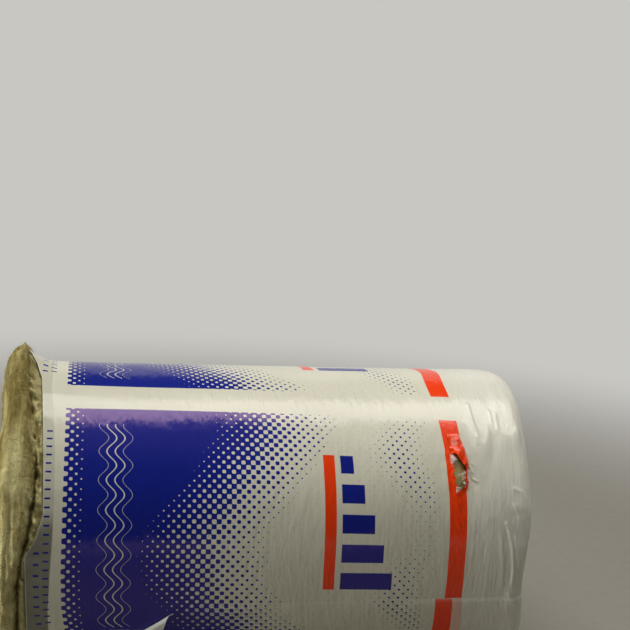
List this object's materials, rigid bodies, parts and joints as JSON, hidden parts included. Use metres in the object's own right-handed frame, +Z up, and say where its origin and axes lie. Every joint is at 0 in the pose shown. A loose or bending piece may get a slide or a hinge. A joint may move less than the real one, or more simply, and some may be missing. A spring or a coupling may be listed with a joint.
{
  "type": "insulation roll",
  "caption": "Mineral wool mat wound into a compressed roll round a small eye, held by printed plastic film that is folded over one end and leaves the other end open and swollen.",
  "frame": {"origin": "on the floor under the middle of the roll's bounding box, as it lies on its side", "axes": "+X along the roll's axis, from the loose end towards the lapped end; +Z up; the front that the picture shows faces -Y"},
  "size_m": [0.6422, 0.4, 0.4],
  "materials": {
    "mineral_wool": "fibrous, matt, olive yellow, with streaks and tufts",
    "printed_film": "milky white polyethylene film, glossy and wrinkled, printed blue with a red stripe"
  },
  "bodies": {
    "root": {"wool_roll": "mineral_wool", "film_wrap": "printed_film"}
  },
  "joints": []
}
